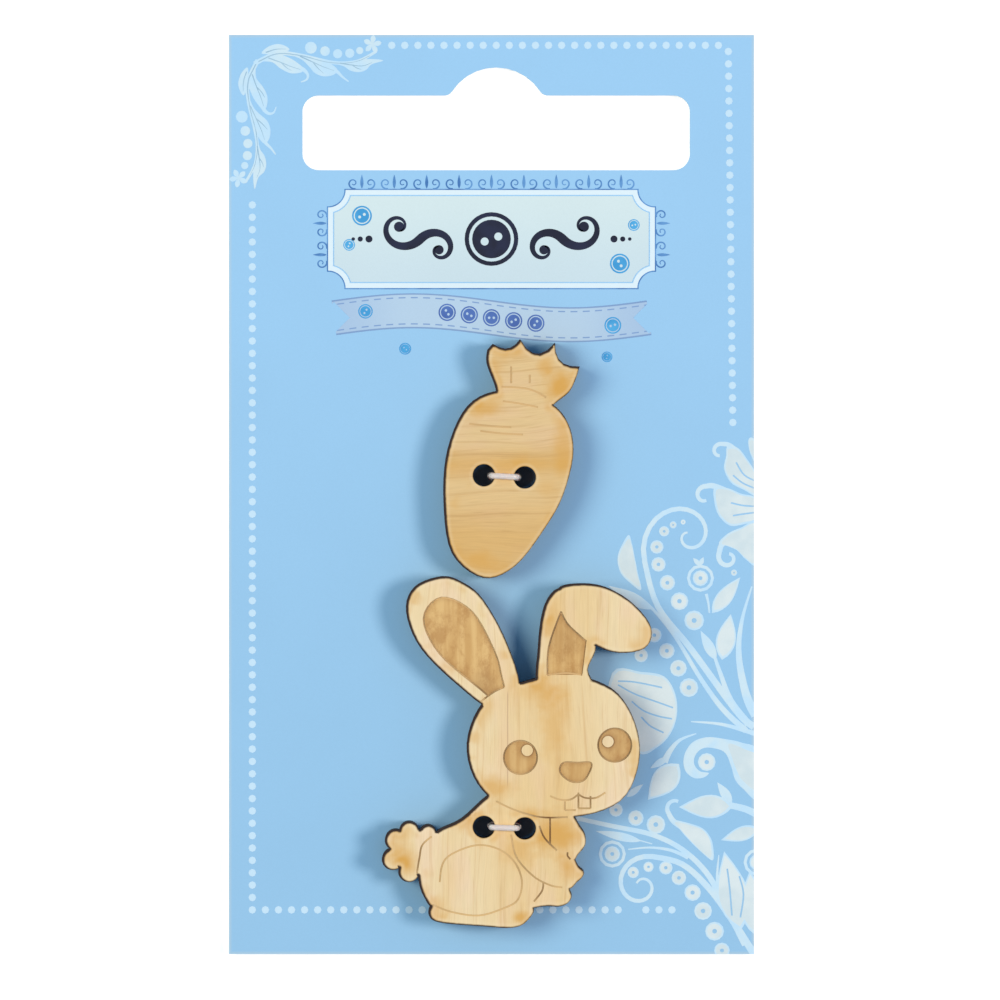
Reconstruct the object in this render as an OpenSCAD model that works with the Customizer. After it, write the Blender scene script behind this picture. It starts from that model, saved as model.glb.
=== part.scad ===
// Card of buttons: a printed hang card with two laser-cut wooden buttons, a
// carrot and a sitting rabbit, each held by one moulded plastic tie.
// The card lies on its back: +X to its right edge, +Y to its top edge and
// +Z out of its printed face. The origin is under the middle of the card,
// level with the undersides of the ties' bars.

/* [Card] */
// Width of the card
card_w = 45; // [42:0.5:60]
// Height of the card
card_h = 78.8; // [76:0.2:100]
// Thickness of the board
card_t = 0.5; // [0.3:0.05:1]

/* [Hang slot] */
// Width of the slot
slot_w = 33.2; // [26:0.2:36]
// Height of the slot between its long edges
slot_h = 6.4; // [5:0.1:8]
// Radius of the slot's corners
slot_r = 1.4; // [0.5:0.1:2.4]
// Distance from the card's top edge to the slot's upper edge
slot_drop = 5.2; // [4:0.1:6]
// Sideways shift of the die-cut slot from the card's middle
slot_shift = 0.4; // [-1:0.1:1]
// Height of the hook notch above the slot
notch_h = 2.4; // [1.5:0.1:3]
// Radius of the hook notch's crown
notch_r = 4.5; // [3.5:0.1:6]
// Radius of the flare between the notch and the slot's upper edge
flare_r = 0.8; // [0.4:0.1:1.5]

/* [Buttons] */
// Thickness of the plywood
ply_t = 3; // [2:0.1:4]
// Diameter of the sewing holes
hole_d = 1.9; // [1.6:0.1:2.2]
// Distance between the two sewing holes of a button
hole_pitch = 3.5; // [3:0.1:4]
// Width of the scored lines
score_w = 0.15; // [0.1:0.05:0.3]
// Depth of the scored lines
score_d = 0.15; // [0.1:0.05:0.5]
// Depth of the engraved fields
field_d = 0.08; // [0.05:0.01:0.4]

/* [Carrot] */
// Width of the carrot button
carrot_w = 11.7; // [10:0.1:14]
// Height of the carrot button
carrot_h = 20.4; // [18:0.1:24]

/* [Rabbit] */
// Width of the rabbit button
rabbit_w = 23; // [20:0.1:26]
// Height of the rabbit button
rabbit_h = 30; // [27:0.1:33]

/* [Ties] */
// Diameter of a tie's strand
strand_d = 0.5; // [0.4:0.05:0.7]
// Play between the strand and the edge of a sewing hole
strand_play = 0.05; // [0.03:0.01:0.1]
// Play between a leg and its pierced hole in the card
pierce_play = 0.1; // [0.05:0.01:0.2]
// Length of the bars behind the card
bar_l = 5; // [4:0.1:7]
// Diameter of the bars
bar_d = 0.9; // [0.8:0.05:1.2]
// Thickness of the bars between their two flats
bar_t = 0.7; // [0.5:0.05:0.75]
// Sideways place of both ties, from the card's middle
tie_x = 1.1; // [-2:0.1:2]
// Height of the carrot's tie, from the card's middle
carrot_tie_y = 1.55; // [0:0.05:3]
// Distance from the carrot's tie down to the rabbit's
tie_pitch = 30; // [28:0.1:32]

/* [Print] */
// Thickness of the ink fields
ink_t = 0.02; // [0.01:0.01:0.05]
// Diameter of the border dots
dot_d = 0.66; // [0.4:0.02:0.8]
// Distance between the dots of a row
row_pitch = 1.12; // [1:0.02:1.4]
// Distance between the dots of a column
column_pitch = 1.06; // [1:0.02:1.4]
// Distance from the card's left edge to its column of dots
left_margin = 2; // [1.5:0.1:3]
// Distance from the card's right edge to the foot of its column of dots
right_margin = 1.8; // [1.5:0.1:3]
// How far that column leans in at its top
right_lean = 0.4; // [0:0.1:0.8]
// Distance from the card's top edge to its row of dots
top_margin = 0.9; // [0.6:0.1:1.5]
// Distance from the card's bottom edge to its row of dots
bottom_margin = 3.8; // [2:0.1:4]
// Width of the light rim round the field of a leaf
rim_w = 0.2; // [0.1:0.02:0.3]
// Distance from the hang slot's lower edge to the label's plaque
label_drop = 1.7; // [1.5:0.1:3]
// Width of the label's plaque
plaque_w = 28; // [24:0.2:32]
// Height of the label's plaque
plaque_h = 8.4; // [7:0.1:9]
// Radius of the scoops in the plaque's corners
scoop_r = 1.5; // [0.8:0.1:2]
// Width of the plaque's white border
border_w = 0.42; // [0.2:0.02:0.8]
// Width of the thin lines along that border, bare inside it and inked outside it
border_line_w = 0.1; // [0.06:0.01:0.2]
// Height of the filigree round the plaque
filigree_h = 1.3; // [0.8:0.1:1.4]
// Width of the filigree's strokes
filigree_w = 0.13; // [0.08:0.01:0.2]
// Distance from the plaque's sides in to the ends of the label's ribbon
ribbon_inset = 0.5; // [0:0.1:3]
// Height of the label's ribbon
ribbon_h = 3; // [2.6:0.1:3.6]
// Gap between the plaque and the crest of the ribbon's wave
ribbon_gap = 0.45; // [0.2:0.05:1]

/* [Hidden] */

$fn = 48;
// Straight steps in each stretch of a curve
curve_steps = 5;
// How far a cutter runs past what it cuts
overrun = 1;
// Degrees in each straight step of a spiral
curl_step = 15;
// Sides of a printed dot and of a printed bead
dot_sides = 8;
bead_sides = 12;

// The stack, from the bars behind the card to the strands over the buttons
card_z = bar_t;
ink_z = card_z + card_t;
button_z = ink_z + ink_t;
button_top = button_z + ply_t;

// A leg stands just inside the inner edge of its sewing hole
bend_r = strand_play + strand_d / 2;
bend_x = hole_pitch / 2 - hole_d / 2;
leg_x = bend_x + bend_r;

// Places of the ties on the card and their turn, in degrees
carrot_tie_at = [tie_x, carrot_tie_y];
rabbit_tie_at = [tie_x, carrot_tie_y - tie_pitch];
carrot_tie_turn = -3;
rabbit_tie_turn = -2;

// The hang slot, seen from the card's middle
slot_top = card_h / 2 - slot_drop;
notch_y = slot_top + notch_h - notch_r;
flare_y = slot_top + flare_r;
flare_x = sqrt((notch_r + flare_r) ^ 2 - (flare_y - notch_y) ^ 2);
flare_angle = atan2(flare_y - notch_y, flare_x);

card_size = [card_w, card_h];
carrot_size = [carrot_w, carrot_h];
rabbit_size = [rabbit_w, rabbit_h];

// Shapes of the carrot, as shares of its box from the lower left corner
carrot_hole_share = [0.45, 0.425];
carrot_root_shares = [[0.295, 0], [0.065, 0.105], [0.005, 0.325], [0.035, 0.54], [0.18, 0.72],
    [0.42, 0.785], [0.71, 0.755], [0.89, 0.675], [0.955, 0.535], [0.885, 0.355], [0.755, 0.215],
    [0.53, 0.05]];
crown_left_shares = [[0.4, 0.74], [0.38, 0.805], [0.32, 0.9], [0.325, 0.955]];
crown_tip_shares = [[0.365, 0.98], [0.565, 1], [0.82, 0.985], [1, 0.885]];
crown_sag_shares = [0.03, 0.055, 0.04];
crown_right_shares = [[0.98, 0.845], [0.925, 0.78], [0.81, 0.725], [0.76, 0.68]];
carrot_line_shares = [
    [[0.5, 0.885], [0.5, 0.815]],
    [[0.635, 0.85], [0.635, 0.815]],
    [[0.43, 0.8], [0.585, 0.795], [0.68, 0.78], [0.755, 0.755]],
    [[0.44, 0.74], [0.56, 0.73], [0.695, 0.715]],
    [[0.195, 0.645], [0.365, 0.635], [0.5, 0.63]],
    [[0.275, 0.615], [0.425, 0.605], [0.585, 0.6]]];

// Shapes of the rabbit, as shares of its box from the lower left corner
rabbit_hole_share = [0.455, 0.285];
head_shares = [[0.375, 0.64], [0.315, 0.525], [0.355, 0.41], [0.48, 0.335], [0.705, 0.315],
    [0.885, 0.36], [0.955, 0.47], [0.94, 0.585], [0.855, 0.68], [0.685, 0.72], [0.505, 0.695]];
left_ear_shares = [[0.22, 1], [0.12, 0.97], [0.09, 0.9], [0.145, 0.795], [0.29, 0.685],
    [0.41, 0.625], [0.51, 0.675], [0.465, 0.81], [0.375, 0.935], [0.295, 0.985]];
right_ear_shares = [[0.59, 0.675], [0.58, 0.8], [0.605, 0.92], [0.67, 0.965], [0.76, 0.88],
    [0.795, 0.8], [0.765, 0.735], [0.785, 0.675]];
ear_flap_shares = [[0.655, 0.965], [0.735, 0.98], [0.83, 0.97], [0.93, 0.925], [1, 0.855],
    [0.975, 0.795], [0.855, 0.785], [0.73, 0.835], [0.665, 0.9]];
body_shares = [[0.425, 0.39], [0.295, 0.31], [0.205, 0.275], [0.145, 0.22], [0.135, 0.15],
    [0.155, 0.09], [0.215, 0.045], [0.405, 0.035], [0.59, 0.06], [0.655, 0.06], [0.69, 0.07],
    [0.705, 0.09], [0.695, 0.115], [0.665, 0.19], [0.68, 0.32], [0.55, 0.37]];
foot_shares = [[0.185, 0.065], [0.175, 0.035], [0.215, 0.015], [0.36, 0.005], [0.485, 0],
    [0.54, 0.02], [0.56, 0.06], [0.44, 0.08], [0.255, 0.08]];
far_paw_shares = [[0.7, 0.325], [0.735, 0.29], [0.755, 0.265], [0.755, 0.235], [0.73, 0.21],
    [0.705, 0.19], [0.63, 0.21], [0.63, 0.315]];
near_paw_shares = [[0.705, 0.2], [0.73, 0.175], [0.75, 0.16], [0.745, 0.145], [0.725, 0.13],
    [0.69, 0.11], [0.61, 0.13], [0.63, 0.19]];
// The tail's middle and its lobes, each with its place and its radius
tail_shares = [[0.115, 0.225, 0.075], [0.17, 0.27, 0.03], [0.1, 0.275, 0.036], [0.05, 0.25, 0.039],
    [0.04, 0.195, 0.04], [0.1, 0.16, 0.039]];
left_ear_side_shares = [[0.395, 0.66], [0.365, 0.68], [0.215, 0.78], [0.155, 0.88], [0.22, 0.94],
    [0.335, 0.9], [0.42, 0.785], [0.445, 0.715], [0.455, 0.685]];
right_ear_side_shares = [[0.615, 0.72], [0.62, 0.8], [0.665, 0.9]];
ear_fold_shares = [[0.665, 0.9], [0.69, 0.865], [0.73, 0.835], [0.76, 0.815]];
right_ear_base_share = [0.745, 0.72];
nose_shares = [[0.775, 0.47], [0.725, 0.47], [0.675, 0.47], [0.66, 0.45], [0.675, 0.43],
    [0.71, 0.415], [0.75, 0.42], [0.775, 0.45]];
eye_r_share = 0.062;
glint_r_share = 0.021;
eye_shares = [[0.515, 0.485], [0.865, 0.52]];
glint_shares = [[0.54, 0.505], [0.84, 0.53]];
rabbit_line_shares = [
    [[0.37, 0.645], [0.395, 0.66], [0.425, 0.675], [0.455, 0.685]],
    [[0.615, 0.72], [0.685, 0.725], [0.745, 0.72]],
    [[0.425, 0.36], [0.495, 0.335], [0.59, 0.315], [0.69, 0.315]],
    [[0.625, 0.375], [0.66, 0.365], [0.7, 0.365], [0.73, 0.38]],
    [[0.73, 0.38], [0.755, 0.37], [0.795, 0.37], [0.83, 0.385]],
    [[0.73, 0.385], [0.73, 0.34]],
    [[0.73, 0.34], [0.775, 0.34]],
    [[0.775, 0.34], [0.775, 0.375]],
    [[0.68, 0.36], [0.68, 0.335]],
    [[0.68, 0.335], [0.72, 0.335]],
    [[0.185, 0.26], [0.15, 0.235], [0.14, 0.2], [0.13, 0.155]],
    [[0.215, 0.13], [0.225, 0.18], [0.26, 0.21], [0.35, 0.235], [0.43, 0.225], [0.49, 0.19],
        [0.52, 0.135], [0.505, 0.08], [0.45, 0.055], [0.36, 0.035], [0.26, 0.045], [0.19, 0.065]],
    [[0.48, 0.265], [0.495, 0.21], [0.525, 0.175], [0.575, 0.14], [0.63, 0.12], [0.67, 0.115]],
    [[0.585, 0.29], [0.605, 0.255], [0.65, 0.22]],
    [[0.625, 0.315], [0.625, 0.235]],
    [[0.69, 0.215], [0.69, 0.205], [0.7, 0.195]],
    [[0.6, 0.13], [0.595, 0.105], [0.565, 0.075]]];

// Ends of the dot rows and columns, as shares of the card's width or height
top_row_share = 0.31;
bottom_row_shares = [0.745, 0.794, 0.85];
left_column_share = 0.82;
right_column_share = 0.565;

// Crests of filigree over the plaque and at each of its sides
top_crests = 9;
side_crests = 2;
// Parts of a crest, as shares of its width and height: the middle of its curl, the curl's
// radius and how tight it ends, and its leaf's tip and width
crest_curl_share = [0.26, 0.36];
crest_curl_r_share = 0.4;
crest_curl_end_share = 0.25;
crest_leaf_shares = [0.92, 0.2];
crest_curl_angle = 250;
crest_curl_turn = 430;

// Width of the label's ribbon, tails included
ribbon_w = plaque_w - 2 * ribbon_inset;
// Depth of the ribbon's swallow tails and rise of its wave, as shares of its height
ribbon_notch_share = 0.45;
ribbon_wave_share = 0.2;

// Spray in the top left corner: places from that corner, as shares of the card's width
spray_stem_shares = [[0.048, -0.055], [0.09, -0.036], [0.13, -0.038], [0.2, -0.053], [0.245, -0.05],
    [0.28, -0.032]];
// Outlines of the crescent over the stem and of the three lobes under it
spray_lobe_shares = [
    [[0.062, -0.035], [0.074, -0.023], [0.092, -0.0175], [0.107, -0.021], [0.115, -0.029], [0.095, -0.035],
        [0.078, -0.037]],
    [[0.06, -0.05], [0.082, -0.052], [0.098, -0.064], [0.117, -0.073], [0.136, -0.072], [0.143, -0.065],
        [0.13, -0.053], [0.113, -0.043], [0.093, -0.037], [0.07, -0.042]],
    [[0.123, -0.039], [0.14, -0.048], [0.153, -0.061], [0.164, -0.073], [0.18, -0.079], [0.197, -0.077],
        [0.207, -0.069], [0.201, -0.06], [0.184, -0.05], [0.16, -0.042], [0.14, -0.037]],
    [[0.203, -0.054], [0.219, -0.06], [0.231, -0.068], [0.247, -0.071], [0.261, -0.067], [0.272, -0.056],
        [0.294, -0.049], [0.27, -0.046], [0.237, -0.049]]];
// Hooked tips between the lobes
spray_hook_shares = [
    [[0.132, -0.062], [0.143, -0.067], [0.15, -0.076], [0.148, -0.085], [0.137, -0.09]],
    [[0.195, -0.064], [0.206, -0.07], [0.216, -0.08], [0.228, -0.089]]];
// Each bead has its place and its radius
spray_bead_shares = [[0.156, -0.0245, 0.0115], [0.183, -0.031, 0.0095], [0.207, -0.036, 0.009],
    [0.23, -0.035, 0.009], [0.249, -0.03, 0.007]];
// First and last width of the spray's stem and of its hooked tips
spray_stem_w_shares = [0.009, 0.005];
spray_hook_w_shares = [0.009, 0.002];
// Blossom at the end of an arm: its place, and the length and width of its petals
spray_blossom_share = [0.273, -0.018];
spray_petal_shares = [0.018, 0.01];
spray_petal_angles = [10, 82, 154, 226, 298];

// Scrollwork up the right edge: places on the card, as shares of its width and height
// Each stem has its points, and its width at the first and at the last point
stem_shares = [
    [[[0.996, 0.4], [0.977, 0.363], [0.971, 0.325], [0.985, 0.282], [1.004, 0.26]], 0.003, 0.02],
    [[[0.905, 0.345], [0.92, 0.331], [0.935, 0.307], [0.956, 0.276], [0.99, 0.25]], 0.002, 0.014],
    [[[0.909, 0.392], [0.913, 0.382], [0.915, 0.371]], 0.006, 0.003],
    [[[0.73, 0.399], [0.783, 0.388], [0.844, 0.35], [0.897, 0.301], [0.94, 0.267],
        [0.985, 0.243]], 0.003, 0.012],
    [[[0.88, 0.253], [0.939, 0.25], [1.002, 0.24]], 0.002, 0.01],
    [[[0.89, 0.24], [0.859, 0.233], [0.84, 0.221], [0.829, 0.209]], 0.002, 0.014],
    [[[0.954, 0.162], [0.983, 0.158], [1.006, 0.152]], 0.012, 0.014],
    [[[0.661, 0.148], [0.733, 0.139], [0.806, 0.13], [0.863, 0.114], [0.909, 0.089], [0.939, 0.059],
        [0.983, 0.01]], 0.008, 0.012],
    [[[0.705, 0.133], [0.754, 0.128], [0.806, 0.12]], 0.003, 0.002],
    [[[0.76, 0.114], [0.802, 0.116], [0.842, 0.113], [0.875, 0.105]], 0.002, 0.008],
    [[[0.933, 0.108], [0.93, 0.08], [0.939, 0.053]], 0.002, 0.01]];
// Each frond has its stem, the middle and radius of its curl, the angle where the curl
// starts, its turn and how tight it ends, and its width at the root and at the curl's end
frond_shares = [
    [[[1, 0.247], [0.966, 0.265], [0.88, 0.332], [0.817, 0.378]],
        [0.875, 0.454], 0.096, 210, -470, 0.085, 0.014, 0.004],
    [[[1, 0], [0.953, 0.042], [0.912, 0.073], [0.863, 0.098]],
        [0.786, 0.074], 0.06, 70, 440, 0.18, 0.014, 0.004],
    [[[0.979, 0.54], [0.955, 0.553]], [0.935, 0.547], 0.015, 70, 200, 0.55, 0.01, 0.006],
    [[[0.962, 0.5], [0.925, 0.509]], [0.906, 0.499], 0.018, 80, 210, 0.55, 0.012, 0.006],
    [[[0.97, 0.455], [0.941, 0.447]], [0.951, 0.431], 0.02, 150, 290, 0.4, 0.012, 0.006],
    [[[0.878, 0.133], [0.848, 0.144]], [0.85, 0.159], 0.016, 215, -150, 0.85, 0.012, 0.006]];
// Each leaf and leaflet has its base, its tip and its width
leaf_shares = [
    [[0.92, 0.371], [0.974, 0.41], 0.03],
    [[0.939, 0.32], [0.956, 0.37], 0.038],
    [[0.857, 0.207], [0.798, 0.168], 0.05],
    [[0.96, 0.161], [0.857, 0.16], 0.045],
    [[1.011, 0.137], [0.937, 0.124], 0.028],
    [[0.975, 0.026], [0.943, 0.112], 0.06],
    [[1.004, 0.02], [0.992, 0.091], 0.05]];
leaflet_shares = [
    [[0.836, 0.214], [0.802, 0.202], 0.013],
    [[0.958, 0.164], [0.93, 0.187], 0.018],
    [[0.758, 0.171], [0.789, 0.185], 0.012],
    [[0.805, 0.375], [0.722, 0.401], 0.022],
    [[0.928, 0.32], [0.898, 0.352], 0.02],
    [[0.785, 0.123], [0.698, 0.134], 0.016],
    [[0.897, 0.423], [0.884, 0.431], 0.009],
    [[0.897, 0.423], [0.904, 0.432], 0.009]];
// Outlines of the side leaf, the shell, the drooping leaf and the flower's petals
blade_shares = [
    [[0.761, 0.456], [0.745, 0.441], [0.74, 0.428], [0.747, 0.414], [0.764, 0.404], [0.785, 0.396],
        [0.779, 0.414], [0.773, 0.431], [0.768, 0.445]],
    [[0.73, 0.306], [0.785, 0.307], [0.829, 0.302], [0.85, 0.283], [0.853, 0.26], [0.84, 0.239],
        [0.813, 0.224], [0.781, 0.218], [0.72, 0.24]],
    [[0.843, 0.146], [0.872, 0.143], [0.902, 0.137], [0.918, 0.126], [0.923, 0.113], [0.921, 0.102],
        [0.902, 0.11], [0.878, 0.123], [0.858, 0.136]],
    [[0.949, 0.552], [0.968, 0.551], [0.985, 0.54], [1.008, 0.518], [1.008, 0.498], [0.981, 0.505],
        [0.956, 0.513], [0.943, 0.528], [0.947, 0.542]],
    [[0.924, 0.507], [0.949, 0.507], [0.975, 0.501], [1.008, 0.495], [1.008, 0.473], [0.983, 0.468],
        [0.956, 0.466], [0.937, 0.474], [0.926, 0.487]],
    [[1.008, 0.47], [0.975, 0.464], [0.949, 0.457], [0.933, 0.447], [0.949, 0.444], [0.968, 0.439],
        [0.985, 0.429], [1.008, 0.424]],
    [[0.989, 0.558], [0.996, 0.562], [1.008, 0.554], [1.008, 0.531], [0.994, 0.543]]];
// Outline of the broad hook above the leaves, and of the field in its broad end
hook_shares = [[1.008, 0.22], [0.977, 0.23], [0.945, 0.234], [0.91, 0.236], [0.882, 0.23], [0.867, 0.216],
    [0.868, 0.201], [0.884, 0.192], [0.903, 0.192], [0.914, 0.197], [0.897, 0.199], [0.886, 0.207],
    [0.889, 0.217], [0.903, 0.224], [0.924, 0.224], [0.945, 0.219], [0.956, 0.205], [0.964, 0.19],
    [0.979, 0.18], [1.008, 0.169]];
hook_field_shares = [[1.01, 0.213], [0.982, 0.223], [0.952, 0.229], [0.957, 0.216], [0.967, 0.2],
    [0.98, 0.188], [1.01, 0.178]];
// Veins left bare in the shell, the large leaf and the petals, and their width
vein_shares = [
    [[0.846, 0.268], [0.817, 0.274], [0.773, 0.283], [0.741, 0.293]],
    [[0.844, 0.256], [0.817, 0.259], [0.789, 0.265], [0.767, 0.275]],
    [[0.828, 0.241], [0.803, 0.248], [0.785, 0.258]],
    [[0.825, 0.29], [0.773, 0.296], [0.741, 0.297]],
    [[0.958, 0.042], [0.954, 0.07], [0.949, 0.093]],
    [[0.974, 0.04], [0.98, 0.065], [0.972, 0.085]],
    [[1.01, 0.513], [0.982, 0.521], [0.966, 0.535]],
    [[1.01, 0.505], [0.98, 0.512], [0.96, 0.521]],
    [[1.01, 0.487], [0.98, 0.488], [0.956, 0.491]],
    [[1.01, 0.481], [0.982, 0.479], [0.96, 0.477]]];
vein_w_share = 0.003;
// Each bead has its place and its radius
bead_shares = [
    [0.865, 0.47, 0.005], [0.846, 0.467, 0.007], [0.829, 0.46, 0.01], [0.815, 0.443, 0.013],
    [0.818, 0.424, 0.014], [0.835, 0.404, 0.015], [0.858, 0.384, 0.017], [0.886, 0.363, 0.019],
    [0.785, 0.325, 0.013], [0.81, 0.347, 0.014], [0.834, 0.33, 0.015], [0.856, 0.311, 0.016],
    [0.876, 0.29, 0.018],
    [0.77, 0.089, 0.011], [0.799, 0.095, 0.01], [0.832, 0.094, 0.013], [0.857, 0.083, 0.014],
    [0.883, 0.067, 0.016], [0.903, 0.047, 0.017], [0.925, 0.025, 0.018], [0.939, 0.004, 0.015],
    [0.737, 0.157, 0.013], [0.775, 0.148, 0.015], [0.813, 0.141, 0.018],
    [0.962, 0.415, 0.006], [0.91, 0.209, 0.017]];
// Field of a bead and the bare spot in it, as shares of its radius
bead_field_share = 0.8;
bead_spot_share = 0.25;
// Buds are rings round a bead: their places, the ring's two radii and the bead's
bud_shares = [[0.898, 0.409], [0.73, 0.109], [1.006, 0.1]];
bud_ring_shares = [0.026, 0.02];
bud_bead_share = 0.015;
// Power that moves a leaf's widest place to its base
leaf_lean = 0.8;

function on_box(size, share) = [size.x * share.x, size.y * share.y];
function all_on_box(size, shares) = [for (share = shares) on_box(size, share)];
function on_card(share) = on_box(card_size, share) - card_size / 2;
function all_on_card(shares) = [for (share = shares) on_card(share)];
function reversed(list) = [for (i = [len(list) - 1:-1:0]) list[i]];
function on_circle(radius, angle) = radius * [cos(angle), sin(angle)];
function arc(middle, radius, from, to) =
    [for (step = [0:2 * curve_steps])
        middle + on_circle(radius, from + (to - from) * step / (2 * curve_steps))];

// Point on the smooth curve from b to c, with a before and d after them
function between(a, b, c, d, t) =
    (2 * b + (c - a) * t + (2 * a - 5 * b + 4 * c - d) * t ^ 2 + (3 * b - a - 3 * c + d) * t ^ 3) / 2;

// Smooth closed curve through the points
function loop_curve(points) =
    let (n = len(points))
    [for (i = [0:n - 1], step = [0:curve_steps - 1])
        between(points[(i + n - 1) % n], points[i], points[(i + 1) % n], points[(i + 2) % n],
            step / curve_steps)];

// Smooth open curve through the points
function line_curve(points) =
    let (last = len(points) - 1)
    concat([for (i = [0:last - 1], step = [0:curve_steps - 1])
        between(points[max(i - 1, 0)], points[i], points[i + 1], points[min(i + 2, last)],
            step / curve_steps)], [points[last]]);

// Unit vector to the left of the way from one point to another
function left_of(from, to) =
    let (way = (to - from) / norm(to - from))
    [-way.y, way.x];

// An open path moved sideways, by an amount that goes from start to end
function beside(path, start, end) =
    let (last = len(path) - 1)
    [for (i = [0:last])
        path[i] + (start + (end - start) * i / last)
            * left_of(path[max(i - 1, 0)], path[min(i + 1, last)])];

// A closed path moved sideways
function loop_beside(path, offset) =
    let (n = len(path))
    [for (i = [0:n - 1]) path[i] + offset * left_of(path[(i + n - 1) % n], path[(i + 1) % n])];

// Outline of a band along an open path
function band(path, start_w, end_w) =
    concat(beside(path, start_w / 2, end_w / 2), reversed(beside(path, -start_w / 2, -end_w / 2)));

// Hollow arc from one tip towards the next
function scallop(from, to, sag) =
    [for (step = [0:curve_steps - 1])
        let (t = step / curve_steps)
        from + (to - from) * t - sag * 4 * t * (1 - t) * left_of(from, to)];

// Spiral that tightens from its first radius to a share of it
function curl(middle, radius, angle, turn, end_share) =
    let (steps = ceil(abs(turn) / curl_step))
    [for (step = [0:steps])
        let (t = step / steps)
        middle + on_circle(radius * end_share ^ t, angle + turn * t)];

// Outline of a leaf, widest nearer its base than its tip
function leaf(base, tip, width) =
    let (half = [for (step = [0:2 * curve_steps])
        let (t = step / (2 * curve_steps))
        base + (tip - base) * t + width / 2 * sin(180 * t ^ leaf_lean) * left_of(base, tip)])
    let (other = [for (step = [1:2 * curve_steps - 1])
        let (t = 1 - step / (2 * curve_steps))
        base + (tip - base) * t - width / 2 * sin(180 * t ^ leaf_lean) * left_of(base, tip)])
    concat(half, other);

function sum(points, i = 0) = i == len(points) - 1 ? points[i] : points[i] + sum(points, i + 1);

// A closed path drawn in towards its middle, by about the width of a rim
function within(path, rim) =
    let (middle = sum(path) / len(path))
    let (reach = sum([for (point = path) norm(point - middle)]) / len(path))
    [for (point = path) middle + (1 - rim / reach) * (point - middle)];

module at_each_side(reach) {
    for (side = [-1, 1]) translate([side * reach, 0, 0]) children();
}

// Place of a tie, from the middle of the card
module at_tie(place, turn) {
    translate([place.x, place.y, 0]) rotate([0, 0, turn]) children();
}

// A button's lower left corner, so that its holes meet its tie
module at_button(tie_at, size, hole_share) {
    corner = tie_at - on_box(size, hole_share);
    translate([corner.x, corner.y, button_z]) children();
}

// Card

// Euro slot: a long bar with rounded corners and a hook notch that flares into its upper edge
module hang_slot() {
    corner_x = slot_w / 2 - slot_r;
    upper_y = slot_top - slot_r;
    lower_y = slot_top - slot_h + slot_r;
    translate([slot_shift, 0]) polygon(concat(
        arc([flare_x, flare_y], flare_r, 270, 180 + flare_angle),
        arc([0, notch_y], notch_r, flare_angle, 180 - flare_angle),
        arc([-flare_x, flare_y], flare_r, -flare_angle, -90),
        arc([-corner_x, upper_y], slot_r, 90, 180),
        arc([-corner_x, lower_y], slot_r, 180, 270),
        arc([corner_x, lower_y], slot_r, 270, 360),
        arc([corner_x, upper_y], slot_r, 0, 90)));
}

module pierced_holes(tie_at, turn) {
    at_tie(tie_at, turn) at_each_side(leg_x) translate([0, 0, card_z - overrun])
        cylinder(d = strand_d + 2 * pierce_play, h = card_t + 2 * overrun);
}

module hang_card() {
    color("lightskyblue") difference() {
        translate([0, 0, card_z]) linear_extrude(card_t) difference() {
            square(card_size, center = true);
            hang_slot();
        }
        pierced_holes(carrot_tie_at, carrot_tie_turn);
        pierced_holes(rabbit_tie_at, rabbit_tie_turn);
    }
}

// Buttons

module sewing_holes(hole_at, turn) {
    translate([hole_at.x, hole_at.y, -overrun]) rotate([0, 0, turn]) at_each_side(hole_pitch / 2)
        cylinder(d = hole_d, h = ply_t + 2 * overrun);
}

// Cutter for a shape that is sunk into a button's face
module sunk(depth) {
    translate([0, 0, ply_t - depth]) linear_extrude(depth + overrun) children();
}

module scored_line(points) {
    polygon(band(line_curve(points), score_w, score_w));
}

module scored_loop(path) {
    difference() {
        polygon(loop_beside(path, -score_w / 2));
        polygon(loop_beside(path, score_w / 2));
    }
}

module scored_ring(r) {
    difference() {
        circle(r = r + score_w / 2);
        circle(r = r - score_w / 2);
    }
}

module carrot_crown() {
    tips = all_on_box(carrot_size, crown_tip_shares);
    sags = carrot_h * crown_sag_shares;
    polygon(concat(
        line_curve(all_on_box(carrot_size, crown_left_shares)),
        [for (i = [0:len(sags) - 1]) each scallop(tips[i], tips[i + 1], sags[i])],
        [tips[len(sags)]],
        line_curve(all_on_box(carrot_size, crown_right_shares))));
}

module carrot_button() {
    color("burlywood") at_button(carrot_tie_at, carrot_size, carrot_hole_share) difference() {
        linear_extrude(ply_t) {
            polygon(loop_curve(all_on_box(carrot_size, carrot_root_shares)));
            carrot_crown();
        }
        sewing_holes(on_box(carrot_size, carrot_hole_share), carrot_tie_turn);
        sunk(score_d) for (shares = carrot_line_shares) scored_line(all_on_box(carrot_size, shares));
    }
}

// Head, ears, body, foot, paws and tail, cut from one sheet
module rabbit_blank() {
    for (shares = [head_shares, left_ear_shares, right_ear_shares, ear_flap_shares, body_shares,
            foot_shares, far_paw_shares, near_paw_shares])
        linear_extrude(ply_t) polygon(loop_curve(all_on_box(rabbit_size, shares)));
    for (share = tail_shares) translate(on_box(rabbit_size, [share.x, share.y]))
        cylinder(r = share.z * rabbit_w, h = ply_t);
}

// Outline of the right ear's inside, up to the fold of its flap
function right_ear_field() = concat(
    line_curve(all_on_box(rabbit_size, right_ear_side_shares)),
    line_curve(all_on_box(rabbit_size, ear_fold_shares)),
    [on_box(rabbit_size, right_ear_base_share)]);

module at_rabbit(shares) {
    for (share = shares) translate(on_box(rabbit_size, share)) children();
}

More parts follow.
